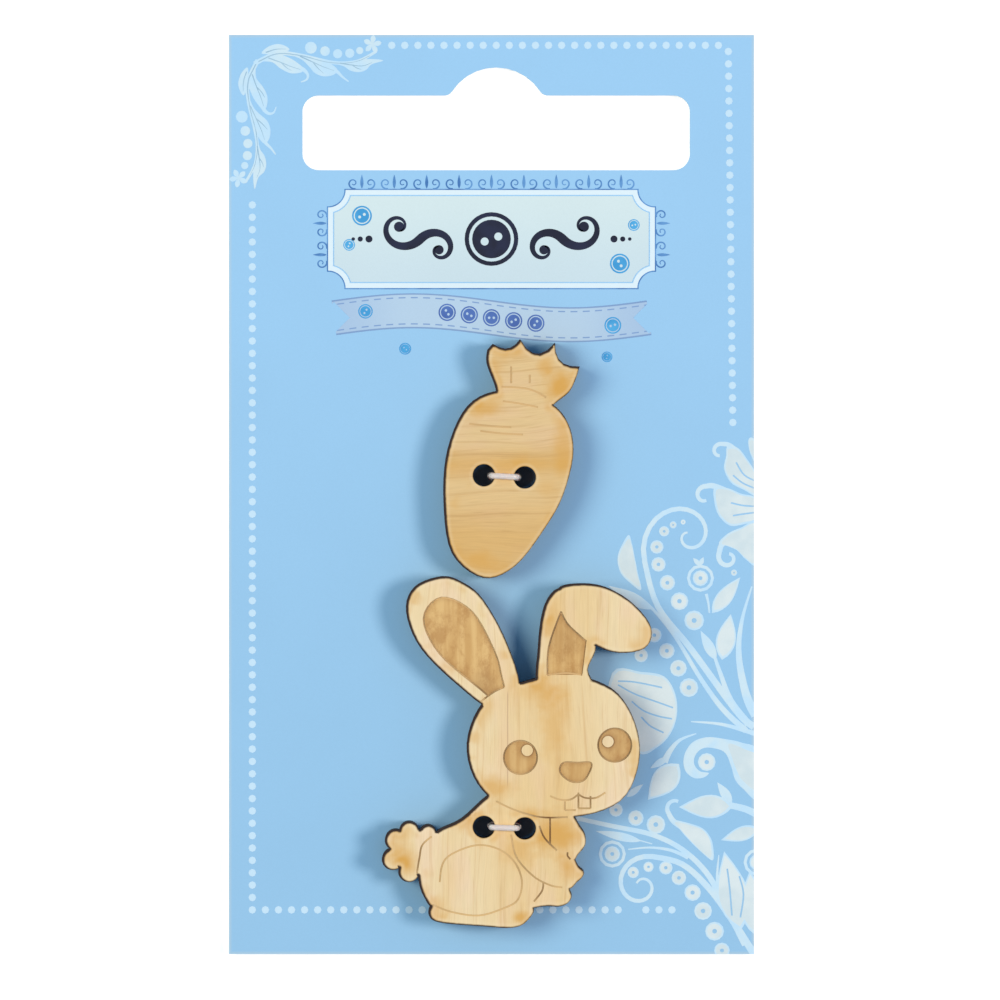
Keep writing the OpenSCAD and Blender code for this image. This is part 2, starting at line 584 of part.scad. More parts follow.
// Inner ears, eyes and nose
module rabbit_fields() {
    polygon(line_curve(all_on_box(rabbit_size, left_ear_side_shares)));
    polygon(right_ear_field());
    polygon(loop_curve(all_on_box(rabbit_size, nose_shares)));
    difference() {
        at_rabbit(eye_shares) circle(r = eye_r_share * rabbit_w);
        at_rabbit(glint_shares) circle(r = glint_r_share * rabbit_w);
    }
}

module rabbit_scores() {
    for (shares = rabbit_line_shares) scored_line(all_on_box(rabbit_size, shares));
    for (shares = [left_ear_side_shares, right_ear_side_shares, ear_fold_shares])
        scored_line(all_on_box(rabbit_size, shares));
    scored_loop(loop_curve(all_on_box(rabbit_size, nose_shares)));
    at_rabbit(eye_shares) scored_ring(eye_r_share * rabbit_w);
}

module rabbit_button() {
    color("wheat") at_button(rabbit_tie_at, rabbit_size, rabbit_hole_share) difference() {
        rabbit_blank();
        sewing_holes(on_box(rabbit_size, rabbit_hole_share), rabbit_tie_turn);
        sunk(score_d) rabbit_scores();
        sunk(field_d) rabbit_fields();
    }
}

// Ties

// Half of a tie: half of its strand, a bend, a leg and its bar
module half_tie() {
    translate([0, 0, button_top + bend_r]) rotate([0, 90, 0]) cylinder(d = strand_d, h = bend_x);
    translate([bend_x, 0, button_top]) rotate([90, 0, 0]) rotate_extrude(angle = 90)
        translate([bend_r, 0]) circle(d = strand_d);
    translate([leg_x, 0, bar_t / 2]) cylinder(d = strand_d, h = button_top - bar_t / 2);
    intersection() {
        translate([leg_x, bar_l / 2, bar_t / 2]) rotate([90, 0, 0]) cylinder(d = bar_d, h = bar_l);
        translate([leg_x - bar_d / 2, -bar_l / 2, 0]) cube([bar_d, bar_l, bar_t]);
    }
}

module tie(tie_at, turn) {
    color("white") at_tie(tie_at, turn) {
        half_tie();
        mirror([1, 0, 0]) half_tie();
    }
}

module carrot_tie() {
    tie(carrot_tie_at, carrot_tie_turn);
}

module rabbit_tie() {
    tie(rabbit_tie_at, rabbit_tie_turn);
}

// Print

// A layer of ink on the card's face
module printed() {
    translate([0, 0, ink_z]) linear_extrude(ink_t) children();
}

module dots_along(from, to, pitch) {
    way = (to - from) / norm(to - from);
    for (i = [0:floor(norm(to - from) / pitch)]) translate(from + way * pitch * i)
        circle(d = dot_d, $fn = dot_sides);
}

module border_dots() {
    left = left_margin - card_w / 2;
    right = card_w / 2 - right_margin;
    top = card_h / 2 - top_margin;
    bottom = bottom_margin - card_h / 2;
    gap_ends = [for (share = bottom_row_shares) (share - 0.5) * card_w];
    color("azure") printed() {
        dots_along([(top_row_share - 0.5) * card_w, top], [right - right_lean - row_pitch / 2, top],
            row_pitch);
        dots_along([right - right_lean, top - column_pitch / 2],
            [right, (right_column_share - 0.5) * card_h], column_pitch);
        dots_along([left, bottom + column_pitch], [left, (left_column_share - 0.5) * card_h],
            column_pitch);
        dots_along([left, bottom], [gap_ends[0], bottom], row_pitch);
        dots_along([gap_ends[1], bottom], [gap_ends[2], bottom], row_pitch);
    }
}

module disc(r) {
    circle(r = r, $fn = bead_sides);
}

module bud_ring() {
    difference() {
        disc(bud_ring_shares[0] * card_w);
        disc(bud_ring_shares[1] * card_w);
    }
}

// One arm of the corner spray, along the top edge
module spray_arm() {
    stem_w = card_w * spray_stem_w_shares;
    hook_w = card_w * spray_hook_w_shares;
    blossom = card_w * spray_blossom_share;
    petal = card_w * spray_petal_shares;
    polygon(band(line_curve(card_w * spray_stem_shares), stem_w[0], stem_w[1]));
    for (shares = spray_lobe_shares) polygon(loop_curve(card_w * shares));
    for (shares = spray_hook_shares) polygon(band(line_curve(card_w * shares), hook_w[0], hook_w[1]));
    for (share = spray_bead_shares) translate(card_w * [share.x, share.y]) disc(card_w * share[2]);
    for (angle = spray_petal_angles) polygon(leaf(blossom + on_circle(petal[0], angle), blossom, petal[1]));
}

module corner_spray() {
    translate([-card_w / 2, card_h / 2]) {
        spray_arm();
        mirror([1, 1]) spray_arm();
    }
}

// A stem that runs on into a curl
module frond(share) {
    stem = all_on_card(share[0]);
    spiral = curl(on_card(share[1]), card_w * share[2], share[3], share[4], share[5]);
    lead = line_curve(concat(stem, [spiral[0], spiral[1]]));
    path = concat([for (i = [0:len(stem) * curve_steps - 1]) lead[i]], spiral);
    polygon(band(path, card_w * share[6], card_w * share[7]));
}

function card_leaf(share) = leaf(on_card(share[0]), on_card(share[1]), card_w * share[2]);
function card_loop(shares) = loop_curve(all_on_card(shares));

// Outlines of all that has a field inside
leaf_paths = concat(
    [for (share = leaf_shares) card_leaf(share)],
    [for (shares = blade_shares) card_loop(shares)]);

// Places and radii of all beads, the buds' included
all_bead_shares = concat(bead_shares,
    [for (share = bud_shares) [share.x, share.y, bud_bead_share]]);

// A disc on each bead, with a share of its radius
module on_beads(share) {
    for (bead = all_bead_shares) translate(on_card([bead.x, bead.y])) disc(card_w * bead.z * share);
}

// Veins in the leaves and spots in the beads, left bare
module bare_marks() {
    for (shares = vein_shares)
        polygon(band(line_curve(all_on_card(shares)), card_w * vein_w_share, card_w * vein_w_share));
    on_beads(bead_spot_share);
}

module fields() {
    for (path = leaf_paths) polygon(within(path, rim_w));
    polygon(card_loop(hook_field_shares));
    on_beads(bead_field_share);
}

module edge_scrolls() {
    for (share = frond_shares) frond(share);
    for (share = stem_shares)
        polygon(band(line_curve(all_on_card(share[0])), card_w * share[1], card_w * share[2]));
    for (path = leaf_paths) polygon(path);
    for (share = leaflet_shares) polygon(card_leaf(share));
    polygon(card_loop(hook_shares));
    on_beads(1);
    for (share = bud_shares) translate(on_card(share)) bud_ring();
}

// Light lines of the scrolls, with the fields and the bare marks left out
module scrollwork() {
    color("aliceblue") printed() {
        corner_spray();
        intersection() {
            square(card_size, center = true);
            difference() {
                edge_scrolls();
                fields();
                bare_marks();
            }
        }
    }
}

// Duller tint inside the leaves, the shell, the petals and the beads
module leaf_fields() {
    color("gainsboro") printed() intersection() {
        square(card_size, center = true);
        difference() {
            fields();
            bare_marks();
        }
    }
}

// Label

module at_label() {
    translate([0, slot_top - slot_h - label_drop - plaque_h / 2]) children();
}

// The plaque's outline with its scooped corners, drawn in by an inset
module scooped_plaque(inset) {
    difference() {
        square([plaque_w - 2 * inset, plaque_h - 2 * inset], center = true);
        for (x = [-1, 1], y = [-1, 1]) translate([x * plaque_w / 2, y * plaque_h / 2])
            circle(r = scoop_r + inset);
    }
}

module label_plaque() {
    color("lightcyan") printed() at_label() scooped_plaque(border_w + border_line_w);
}

module label_border() {
    color("white") printed() at_label() difference() {
        scooped_plaque(0);
        scooped_plaque(border_w);
    }
}

// A leaf between two curls, standing on the X axis
module crest(width) {
    size = [width, filigree_h];
    spiral = curl(on_box(size, crest_curl_share), filigree_h * crest_curl_r_share, crest_curl_angle,
        crest_curl_turn, crest_curl_end_share);
    for (side = [0, 1]) mirror([side, 0]) polygon(band(spiral, filigree_w, filigree_w / 2));
    polygon(leaf([0, 0], [0, filigree_h * crest_leaf_shares[0]], filigree_h * crest_leaf_shares[1]));
}

// Crests side by side along an edge, which the X axis follows
module crests(length, count) {
    for (i = [0:count - 1]) translate([(i + 0.5 - count / 2) * length / count, filigree_w])
        crest(length / count);
}

// Crests along the plaque's top and sides, rising from a thin line round its border
module label_filigree() {
    color("cornflowerblue") printed() at_label() {
        difference() {
            scooped_plaque(-border_line_w);
            scooped_plaque(0);
        }
        translate([0, plaque_h / 2]) crests(plaque_w - 2 * scoop_r, top_crests);
        for (side = [-1, 1]) translate([side * plaque_w / 2, 0]) rotate(-side * 90)
            crests(plaque_h - 2 * scoop_r, side_crests);
    }
}

// A waved ribbon with swallow tails, its crest just under the plaque
module label_ribbon() {
    drop = plaque_h / 2 + ribbon_gap + ribbon_h / 2 + ribbon_h * ribbon_wave_share;
    wave = [for (step = [0:4 * curve_steps])
        let (t = step / (4 * curve_steps))
        [(t - 0.5) * ribbon_w, ribbon_wave_share * ribbon_h * sin(360 * t)]];
    color("lightsteelblue") printed() at_label() translate([0, -drop]) difference() {
        polygon(band(wave, ribbon_h, ribbon_h));
        for (side = [-1, 1]) translate([side * ribbon_w / 2, 0])
            circle(d = ribbon_h * ribbon_notch_share * 2, $fn = 4);
    }
}

hang_card();
border_dots();
scrollwork();
leaf_fields();
label_plaque();
label_border();
label_filigree();
label_ribbon();
carrot_button();
rabbit_button();
carrot_tie();
rabbit_tie();
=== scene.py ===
"""A printed hang card with two laser-cut wooden buttons, a carrot and a sitting rabbit."""

import math

import bmesh
import bpy
from mathutils import Matrix, Vector
from mathutils.kdtree import KDTree


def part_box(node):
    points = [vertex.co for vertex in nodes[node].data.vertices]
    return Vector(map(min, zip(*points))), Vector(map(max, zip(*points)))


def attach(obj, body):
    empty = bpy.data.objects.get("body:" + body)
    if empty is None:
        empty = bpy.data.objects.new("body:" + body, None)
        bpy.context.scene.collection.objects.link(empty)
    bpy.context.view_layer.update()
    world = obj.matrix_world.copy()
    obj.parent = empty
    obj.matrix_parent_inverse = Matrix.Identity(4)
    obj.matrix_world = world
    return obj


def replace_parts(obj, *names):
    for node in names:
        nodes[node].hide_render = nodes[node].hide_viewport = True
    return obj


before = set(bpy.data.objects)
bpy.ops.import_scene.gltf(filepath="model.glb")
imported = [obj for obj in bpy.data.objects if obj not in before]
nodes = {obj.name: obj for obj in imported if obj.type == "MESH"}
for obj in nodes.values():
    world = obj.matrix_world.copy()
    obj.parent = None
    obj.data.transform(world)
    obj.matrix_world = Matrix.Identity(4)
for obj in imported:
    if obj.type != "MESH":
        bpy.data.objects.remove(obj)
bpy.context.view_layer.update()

MM = 0.001
PER_MM = 1000.0
RIBBON_INSET = 0.5
RIBBON_HALF_SHARE = 2.5
SEAM_FADE = 0.6
# Reach of the painted shade under the sewing holes, in millimetres.
HOLE_SHADE_REACH = 1.3

card_low, card_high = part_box("hang_card")
plaque_low, plaque_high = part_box("label_plaque")
border_low, border_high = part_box("label_border")
ribbon_low, ribbon_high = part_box("label_ribbon")
plaque_middle = (plaque_low + plaque_high) / 2 * PER_MM
ribbon_middle = (ribbon_low + ribbon_high) / 2 * PER_MM
ribbon_width = (border_high.x - border_low.x) * PER_MM - 2 * RIBBON_INSET
ribbon_rise = (ribbon_high.y - ribbon_low.y) * PER_MM / (2 + 2 * RIBBON_HALF_SHARE)
ribbon_half = ribbon_rise * RIBBON_HALF_SHARE


# Node wiring


def colour(red, green, blue):
    """A linear colour from 8-bit screen values."""

    def linear(value):
        share = value / 255
        return share / 12.92 if share <= 0.04045 else ((share + 0.055) / 1.055) ** 2.4

    return (linear(red), linear(green), linear(blue), 1.0)


class Wiring:
    """Adds nodes to one tree and links them."""

    def __init__(self, tree):
        self.tree = tree

    def node(self, kind, inputs=None, **settings):
        made = self.tree.nodes.new(kind)
        for name, value in settings.items():
            setattr(made, name, value)
        for name, value in (inputs or {}).items():
            self.feed(made.inputs[name], value)
        return made

    def feed(self, socket, value):
        if isinstance(value, bpy.types.NodeSocket):
            self.tree.links.new(value, socket)
        else:
            socket.default_value = value

    def math(self, operation, first, second=0.0, third=0.0, clamp=False):
        made = self.node("ShaderNodeMath", {0: first, 1: second, 2: third}, operation=operation,
                         use_clamp=clamp)
        return made.outputs[0]

    def total(self, parts):
        result = 0.0
        for part in parts:
            result = self.math("ADD", result, part)
        return result

    def span(self, value, low, high):
        """0 below low, 1 above high and a smooth step between."""
        made = self.node("ShaderNodeMapRange", {"Value": value, "From Min": low, "From Max": high},
                         interpolation_type="SMOOTHSTEP")
        return made.outputs["Result"]

    def outside(self, value, low, high):
        return self.math("SUBTRACT", 1.0, self.span(value, low, high))

    def mix(self, factor, first, second, blend="MIX"):
        made = self.node("ShaderNodeMix", {0: factor, 6: first, 7: second}, data_type="RGBA",
                         blend_type=blend)
        return made.outputs[2]

    def dim(self, tint, level):
        """A colour times a grey level."""
        grey = self.node("ShaderNodeCombineXYZ", {0: level, 1: level, 2: level}).outputs[0]
        return self.mix(1.0, tint, grey, "MULTIPLY")

    def mapped(self, vector, scale, shift=(0.0, 0.0, 0.0), turn=0.0):
        made = self.node("ShaderNodeMapping", {"Vector": vector, "Scale": scale, "Location": shift,
                                               "Rotation": (0.0, 0.0, turn)})
        return made.outputs[0]

    def noise(self, vector, stretch, detail=2.0, roughness=0.5):
        """Noise with so many features per millimetre along each axis."""
        made = self.node("ShaderNodeTexNoise", {"Vector": self.mapped(vector, stretch), "Scale": 1.0,
                                                "Detail": detail, "Roughness": roughness})
        return made.outputs[0]

    def clouds(self, size, first, second):
        """Two colours in soft patches."""
        patches = self.noise(self.millimetres(), (size, size, size))
        return self.mix(self.span(patches, 0.35, 0.65), first, second)

    def millimetres(self):
        """Place on the object, in millimetres."""
        place = self.node("ShaderNodeTexCoord").outputs["Object"]
        made = self.node("ShaderNodeVectorMath", {0: place, "Scale": PER_MM}, operation="SCALE")
        return made.outputs[0]

    def axes(self, vector):
        return self.node("ShaderNodeSeparateXYZ", {0: vector}).outputs

    def upward(self):
        """How far a face looks up: 1 on top, 0 on a wall."""
        normal = self.node("ShaderNodeTexCoord").outputs["Normal"]
        return self.axes(normal)[2]

    def group(self, tree, inputs):
        return self.node("ShaderNodeGroup", inputs, node_tree=tree).outputs


def new_group(name, inputs, outputs):
    """A node group's wiring, the sockets that come in and the node that its results go to."""
    tree = bpy.data.node_groups.new(name, "ShaderNodeTree")
    for socket_name, kind in inputs:
        tree.interface.new_socket(socket_name, in_out="INPUT", socket_type=kind)
    for socket_name, kind in outputs:
        tree.interface.new_socket(socket_name, in_out="OUTPUT", socket_type=kind)
    arriving = tree.nodes.new("NodeGroupInput").outputs
    leaving = tree.nodes.new("NodeGroupOutput").inputs
    return Wiring(tree), arriving, leaving


def emptied(owner):
    """The wiring of a material or a world, with no nodes yet."""
    owner.use_nodes = True
    owner.node_tree.nodes.clear()
    return Wiring(owner.node_tree)


def new_material(name):
    """A material's wiring and its Principled shader."""
    material = bpy.data.materials.new(name)
    wiring = emptied(material)
    shader = wiring.node("ShaderNodeBsdfPrincipled")
    wiring.node("ShaderNodeOutputMaterial", {"Surface": shader.outputs[0]})
    return material, wiring, shader


FLOAT, VECTOR, COLOUR = "NodeSocketFloat", "NodeSocketVector", "NodeSocketColor"


# Effects that several materials share


def paper_print_group():
    """Ink on matt board: faint clouds, fine speckle and the board's tooth."""
    wiring, arriving, leaving = new_group(
        "Paper print", [("Colour", COLOUR)], [("Colour", COLOUR), ("Roughness", FLOAT), ("Height", FLOAT)])
    place = wiring.millimetres()
    patches = wiring.noise(place, (0.12, 0.12, 0.12), detail=3.0)
    speckle = wiring.noise(place, (7.0, 7.0, 7.0))
    tooth = wiring.noise(place, (3.0, 3.6, 3.0), detail=4.0, roughness=0.65)
    light = wiring.math("MULTIPLY_ADD", patches, 0.05, 0.975)
    grain = wiring.math("MULTIPLY_ADD", speckle, 0.05, 0.975)
    wiring.feed(leaving["Colour"], wiring.dim(arriving["Colour"], wiring.math("MULTIPLY", light, grain)))
    wiring.feed(leaving["Roughness"], wiring.math("MULTIPLY_ADD", tooth, 0.2, 0.5))
    wiring.feed(leaving["Height"], tooth)
    return wiring.tree


def wood_figure_group():
    """Veneer with its grain along Y: broad amber bands, rosy patches, streaks and fine fibres."""
    wiring, arriving, leaving = new_group(
        "Wood figure",
        [("Place", VECTOR), ("Pale", COLOUR), ("Rosy", COLOUR), ("Amber", COLOUR), ("Vein", COLOUR),
         ("Band", FLOAT)],
        [("Colour", COLOUR), ("Height", FLOAT)])
    place = arriving["Place"]
    sway = wiring.noise(place, (0.1, 0.07, 0.1), detail=1.0)
    across = wiring.axes(place)
    bent = wiring.math("MULTIPLY_ADD", sway, 3.0, across[0])
    swayed = wiring.node("ShaderNodeCombineXYZ", {0: bent, 1: across[1], 2: across[2]}).outputs[0]
    broad = wiring.span(wiring.noise(swayed, (0.3, 0.025, 0.1)), 0.4, 0.68)
    patch = wiring.span(wiring.noise(place, (0.16, 0.11, 0.1), detail=3.0), 0.45, 0.72)
    rose = wiring.span(wiring.noise(place, (0.4, 0.16, 0.3), detail=2.0), 0.45, 0.65)
    streak = wiring.noise(swayed, (2.6, 0.07, 0.4), detail=4.0, roughness=0.6)
    fibre = wiring.noise(swayed, (11.0, 0.5, 2.0), detail=3.0, roughness=0.6)
    pore = wiring.span(wiring.noise(swayed, (7.0, 0.35, 1.0), detail=1.0), 0.66, 0.78)
    base = wiring.mix(rose, arriving["Pale"], arriving["Rosy"])
    tint = wiring.math("MULTIPLY_ADD", broad, 0.25, wiring.math("MULTIPLY", patch, 0.2))
    tint = wiring.math("ADD", tint, arriving["Band"], clamp=True)
    toned = wiring.mix(tint, base, arriving["Amber"])
    lined = wiring.mix(wiring.math("MULTIPLY", wiring.span(streak, 0.5, 0.75), 0.45), toned, arriving["Vein"])
    lined = wiring.mix(wiring.math("MULTIPLY", pore, 0.3), lined, arriving["Vein"])
    wiring.feed(leaving["Colour"], wiring.dim(lined, wiring.math("MULTIPLY_ADD", fibre, 0.24, 0.88)))
    height = wiring.math("SUBTRACT", wiring.math("MULTIPLY_ADD", streak, 0.6, fibre), pore)
    wiring.feed(leaving["Height"], height)
    return wiring.tree


def laser_mark_group():
    """What a laser leaves: a black line at the cut edge, toasted stains and brown marks. A pale band just
    inside the black line is a painted highlight.
    """
    wiring, arriving, leaving = new_group(
        "Laser mark",
        [("Colour", COLOUR), ("Place", VECTOR), ("Edge", FLOAT), ("Mark", FLOAT), ("Depth", FLOAT),
         ("Wall", FLOAT), ("Stain", FLOAT), ("Scorch", FLOAT), ("Scored", FLOAT), ("Line", COLOUR)],
        [("Colour", COLOUR), ("Char", FLOAT)])
    place = arriving["Place"]
    depth = arriving["Depth"]
    ragged = wiring.math("SUBTRACT", wiring.noise(place, (2.2, 2.2, 2.2), 3.0), 0.5)
    smoke = wiring.noise(place, (0.35, 0.35, 0.35))
    edge = wiring.math("MULTIPLY_ADD", ragged, 0.08, arriving["Edge"])
    near = wiring.math("MULTIPLY", wiring.outside(edge, 0.2, 1.7), wiring.span(smoke, 0.5, 0.64))
    stain = wiring.math("MULTIPLY_ADD", near, 0.55, arriving["Stain"], clamp=True)
    result = wiring.mix(stain, arriving["Colour"], colour(219, 165, 82))
    streaks = wiring.span(wiring.noise(place, (1.5, 0.1, 1.0), detail=3.0), 0.38, 0.66)
    mottle = wiring.span(wiring.noise(place, (0.5, 0.28, 0.5), detail=6.0, roughness=0.75), 0.44, 0.64)
    field_tone = wiring.mix(streaks, colour(226, 184, 120), colour(207, 160, 96))
    field_tone = wiring.mix(wiring.math("MULTIPLY", mottle, 0.7), field_tone, colour(180, 127, 66))
    rim = wiring.math("MULTIPLY", wiring.outside(arriving["Mark"], 0.0, 0.6), 0.3)
    rim = wiring.math("MULTIPLY_ADD", arriving["Scorch"], 0.4, rim, clamp=True)
    field_tone = wiring.mix(rim, field_tone, colour(150, 102, 56))
    outline = wiring.math("MULTIPLY", wiring.outside(arriving["Mark"], 0.03, 0.18), 0.5)
    field_tone = wiring.mix(outline, field_tone, colour(134, 90, 50))
    result = wiring.mix(wiring.math("MULTIPLY", wiring.span(depth, 0.02, 0.05), 0.95), result, field_tone)
    seared = wiring.math("MULTIPLY_ADD", wiring.span(smoke, 0.45, 0.65), 0.12, arriving["Scorch"], clamp=True)
    line_tone = wiring.mix(seared, arriving["Line"], colour(116, 78, 38))
    result = wiring.mix(wiring.span(arriving["Scored"], 0.67, 0.83), result, line_tone)
    # Painted highlight: a pale band just inside the black edge line.
    edge_highlight = wiring.math("MULTIPLY", wiring.span(edge, 0.18, 0.28), wiring.outside(edge, 0.28, 0.55))
    result = wiring.mix(wiring.math("MULTIPLY", edge_highlight, 0.16), result, colour(250, 231, 198))
    burnt = wiring.outside(edge, 0.07, 0.23)
    result = wiring.mix(burnt, result, colour(50, 36, 33))
    layers = wiring.noise(place, (0.5, 0.5, 1.6), detail=3.0)
    wall_tone = wiring.mix(wiring.span(layers, 0.4, 0.7), colour(44, 30, 25), colour(92, 62, 42))
    wall = wiring.math("MULTIPLY", arriving["Wall"], wiring.span(depth, 0.2, 0.3))
    wiring.feed(leaving["Colour"], wiring.mix(wall, result, wall_tone))
    wiring.feed(leaving["Char"], wiring.math("MAXIMUM", burnt, wall))
    return wiring.tree


paper_print = paper_print_group()
wood_figure = wood_figure_group()
laser_mark = laser_mark_group()


# Materials


def printed_ink(name, tone):
    """Ink on the card. The tone is a colour, or a function that wires one."""
    material, wiring, shader = new_material(name)
    results = wiring.group(paper_print, {"Colour": tone(wiring) if callable(tone) else tone})
    bump = wiring.node("ShaderNodeBump", {"Height": results["Height"], "Strength": 0.06,
                                          "Distance": 0.02 * MM})
    wiring.feed(shader.inputs["Base Color"], results["Colour"])
    wiring.feed(shader.inputs["Roughness"], results["Roughness"])
    wiring.feed(shader.inputs["Normal"], bump.outputs[0])
    wiring.feed(shader.inputs["Specular IOR Level"], 0.3)
    return material


def card_tone(wiring):
    """Light blue print in front, paler and greyer at its outer rim, with painted shade under the sewing holes
    so that the buttons' holes look dark; white board at the cuts and behind.
    """
    place = wiring.axes(wiring.millimetres())
    rise = wiring.span(place[1], card_low.y * PER_MM, card_high.y * PER_MM)
    blue = wiring.mix(rise, colour(151, 197, 233), colour(157, 204, 242))
    reach_x = wiring.math("SUBTRACT", card_high.x * PER_MM, wiring.math("ABSOLUTE", place[0]))
    reach_y = wiring.math("SUBTRACT", card_high.y * PER_MM, wiring.math("ABSOLUTE", place[1]))
    rim = wiring.outside(wiring.math("MINIMUM", reach_x, reach_y), 0.05, 0.32)
    pale_rim_and_hole_shade = wiring.mix(wiring.math("MULTIPLY", rim, 0.55), blue, colour(184, 206, 220))
    # Painted shade: a grey patch on the card under each button's two sewing holes, seen through the holes so
    # that they look dark.
    for tie in ("carrot_tie", "rabbit_tie"):
        low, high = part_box(tie)
        middle = (low + high) / 2 * PER_MM
        reach = (high - low).x * PER_MM / 2 + HOLE_SHADE_REACH
        offset = wiring.mapped(wiring.millimetres(), (1 / reach, 1 / HOLE_SHADE_REACH, 0.0),
                               (-middle.x / reach, -middle.y / HOLE_SHADE_REACH, 0.0))
        distance = wiring.node("ShaderNodeVectorMath", {0: offset}, operation="LENGTH").outputs["Value"]
        pale_rim_and_hole_shade = wiring.mix(wiring.outside(distance, 0.8, 1.0), pale_rim_and_hole_shade, colour(138, 136, 144))
    layers = wiring.noise(wiring.millimetres(), (0.4, 0.4, 14.0), detail=3.0)
    board = wiring.mix(layers, colour(246, 245, 240), colour(226, 224, 216))
    return wiring.mix(wiring.span(wiring.upward(), 0.3, 0.7), board, pale_rim_and_hole_shade)


def scroll_tone(wiring):
    return wiring.clouds(0.5, colour(194, 226, 249), colour(208, 230, 243))


def field_tone(wiring):
    return wiring.clouds(0.45, colour(221, 232, 236), colour(209, 224, 231))


def filigree_tone(wiring):
    return wiring.clouds(0.7, colour(100, 154, 212), colour(66, 118, 182))


def plaque_tone(wiring):
    place = wiring.axes(wiring.millimetres())
    rise = wiring.span(place[1], plaque_low.y * PER_MM, plaque_high.y * PER_MM)
    return wiring.mix(rise, colour(205, 224, 234), colour(214, 231, 235))


def ribbon_tone(wiring):
    """Pale lavender, shaded in its folds, with a thin line and a row of stitches along both edges."""
    place = wiring.axes(wiring.millimetres())
    along = wiring.math("DIVIDE", place[0], ribbon_width)
    wave = wiring.math("SINE", wiring.math("MULTIPLY_ADD", along, 2 * math.pi, math.pi))
    away = wiring.math("SUBTRACT", place[1], wiring.math("MULTIPLY_ADD", wave, ribbon_rise, ribbon_middle.y))
    away = wiring.math("DIVIDE", wiring.math("ABSOLUTE", away), ribbon_half)
    shade = wiring.span(wiring.math("ABSOLUTE", along), 0.25, 0.5)
    cloth = wiring.mix(wiring.math("MULTIPLY", shade, 0.6), colour(184, 209, 233), colour(160, 188, 224))
    line = wiring.math("MULTIPLY", wiring.span(away, 0.9, 0.94), 0.8)
    lined = wiring.mix(line, cloth, colour(112, 146, 196))
    dash = wiring.span(wiring.math("FRACT", wiring.math("MULTIPLY", place[0], 0.95)), 0.4, 0.46)
    row = wiring.math("MULTIPLY", wiring.span(away, 0.7, 0.73), wiring.outside(away, 0.77, 0.8))
    return wiring.mix(wiring.math("MULTIPLY", dash, row), lined, colour(128, 160, 208))


def wood(name, button, grain_turn, tones, bands, seams, stains, scorches, line):
    """Veneered plywood with laser marks.

    The tones are pale, rosy, amber and vein. A band has its place across the grain, its half width and
    its strength. A seam of the veneer has its place across the grain and its two ends along it. Stains of
    the face and scorches of the scored lines have their place, their reach along both axes and their
    strength. The line is the tone of a scored line that isn't scorched.
    """
    material, wiring, shader = new_material(name)
    place = wiring.millimetres()
    turned = wiring.mapped(place, (1.0, 1.0, 1.0), turn=grain_turn)
    across, along = wiring.axes(turned)[0], wiring.axes(turned)[1]
    wander = wiring.math("MULTIPLY_ADD", wiring.noise(place, (0.7, 0.7, 0.7), detail=3.0), 0.9, -0.45)

    def band(middle, half, strength):
        distance = wiring.math("ABSOLUTE", wiring.math("SUBTRACT", across, middle))
        return wiring.math("MULTIPLY", wiring.outside(distance, 0.0, half), strength)

    def seam(middle, start, end):
        distance = wiring.math("ABSOLUTE", wiring.math("SUBTRACT", across, middle))
        fade_in = wiring.span(along, start, start + SEAM_FADE)
        fade_out = wiring.outside(along, end - SEAM_FADE, end)
        width = wiring.outside(distance, 0.02, 0.08)
        return wiring.math("MULTIPLY", width, wiring.math("MULTIPLY", fade_in, fade_out))

    def spot(x, y, reach_x, reach_y, strength):
        offset = wiring.mapped(place, (1 / reach_x, 1 / reach_y, 0.0), (-x / reach_x, -y / reach_y, 0.0))
        distance = wiring.node("ShaderNodeVectorMath", {0: offset}, operation="LENGTH").outputs["Value"]
        ragged = wiring.math("ADD", distance, wander)
        return wiring.math("MULTIPLY", wiring.outside(ragged, 0.1, 1.0), strength)

    pale, rosy, amber, vein = tones
    figure = wiring.group(wood_figure, {
        "Place": turned, "Pale": pale, "Rosy": rosy, "Amber": amber, "Vein": vein,
        "Band": wiring.total(band(*sizes) for sizes in bands)})
    joined = wiring.math("MULTIPLY", wiring.total(seam(*sizes) for sizes in seams), 0.6)
    face = wiring.mix(joined, figure["Colour"], colour(190, 154, 122))
    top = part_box(button)[1].z * PER_MM
    marked = wiring.group(laser_mark, {
        "Colour": face, "Place": place,
        "Edge": wiring.node("ShaderNodeAttribute", attribute_name="edge_mm").outputs["Fac"],
        "Mark": wiring.node("ShaderNodeAttribute", attribute_name="mark_mm").outputs["Fac"],
        "Depth": wiring.math("SUBTRACT", top, wiring.axes(place)[2]),
        "Wall": wiring.outside(wiring.math("ABSOLUTE", wiring.upward()), 0.3, 0.7),
        "Stain": wiring.total(spot(*sizes) for sizes in stains),
        "Scorch": wiring.total(spot(*sizes) for sizes in scorches),
        "Scored": wiring.node("ShaderNodeAttribute", attribute_name="scored").outputs["Fac"],
        "Line": line})
    bump = wiring.node("ShaderNodeBump", {"Height": figure["Height"], "Strength": 0.25,
                                          "Distance": 0.03 * MM})
    wiring.feed(shader.inputs["Base Color"], marked["Colour"])
    wiring.feed(shader.inputs["Roughness"], wiring.math("MULTIPLY_ADD", marked["Char"], 0.25, 0.55))
    wiring.feed(shader.inputs["Specular IOR Level"], 0.3)
    wiring.feed(shader.inputs["Normal"], bump.outputs[0])
    return material


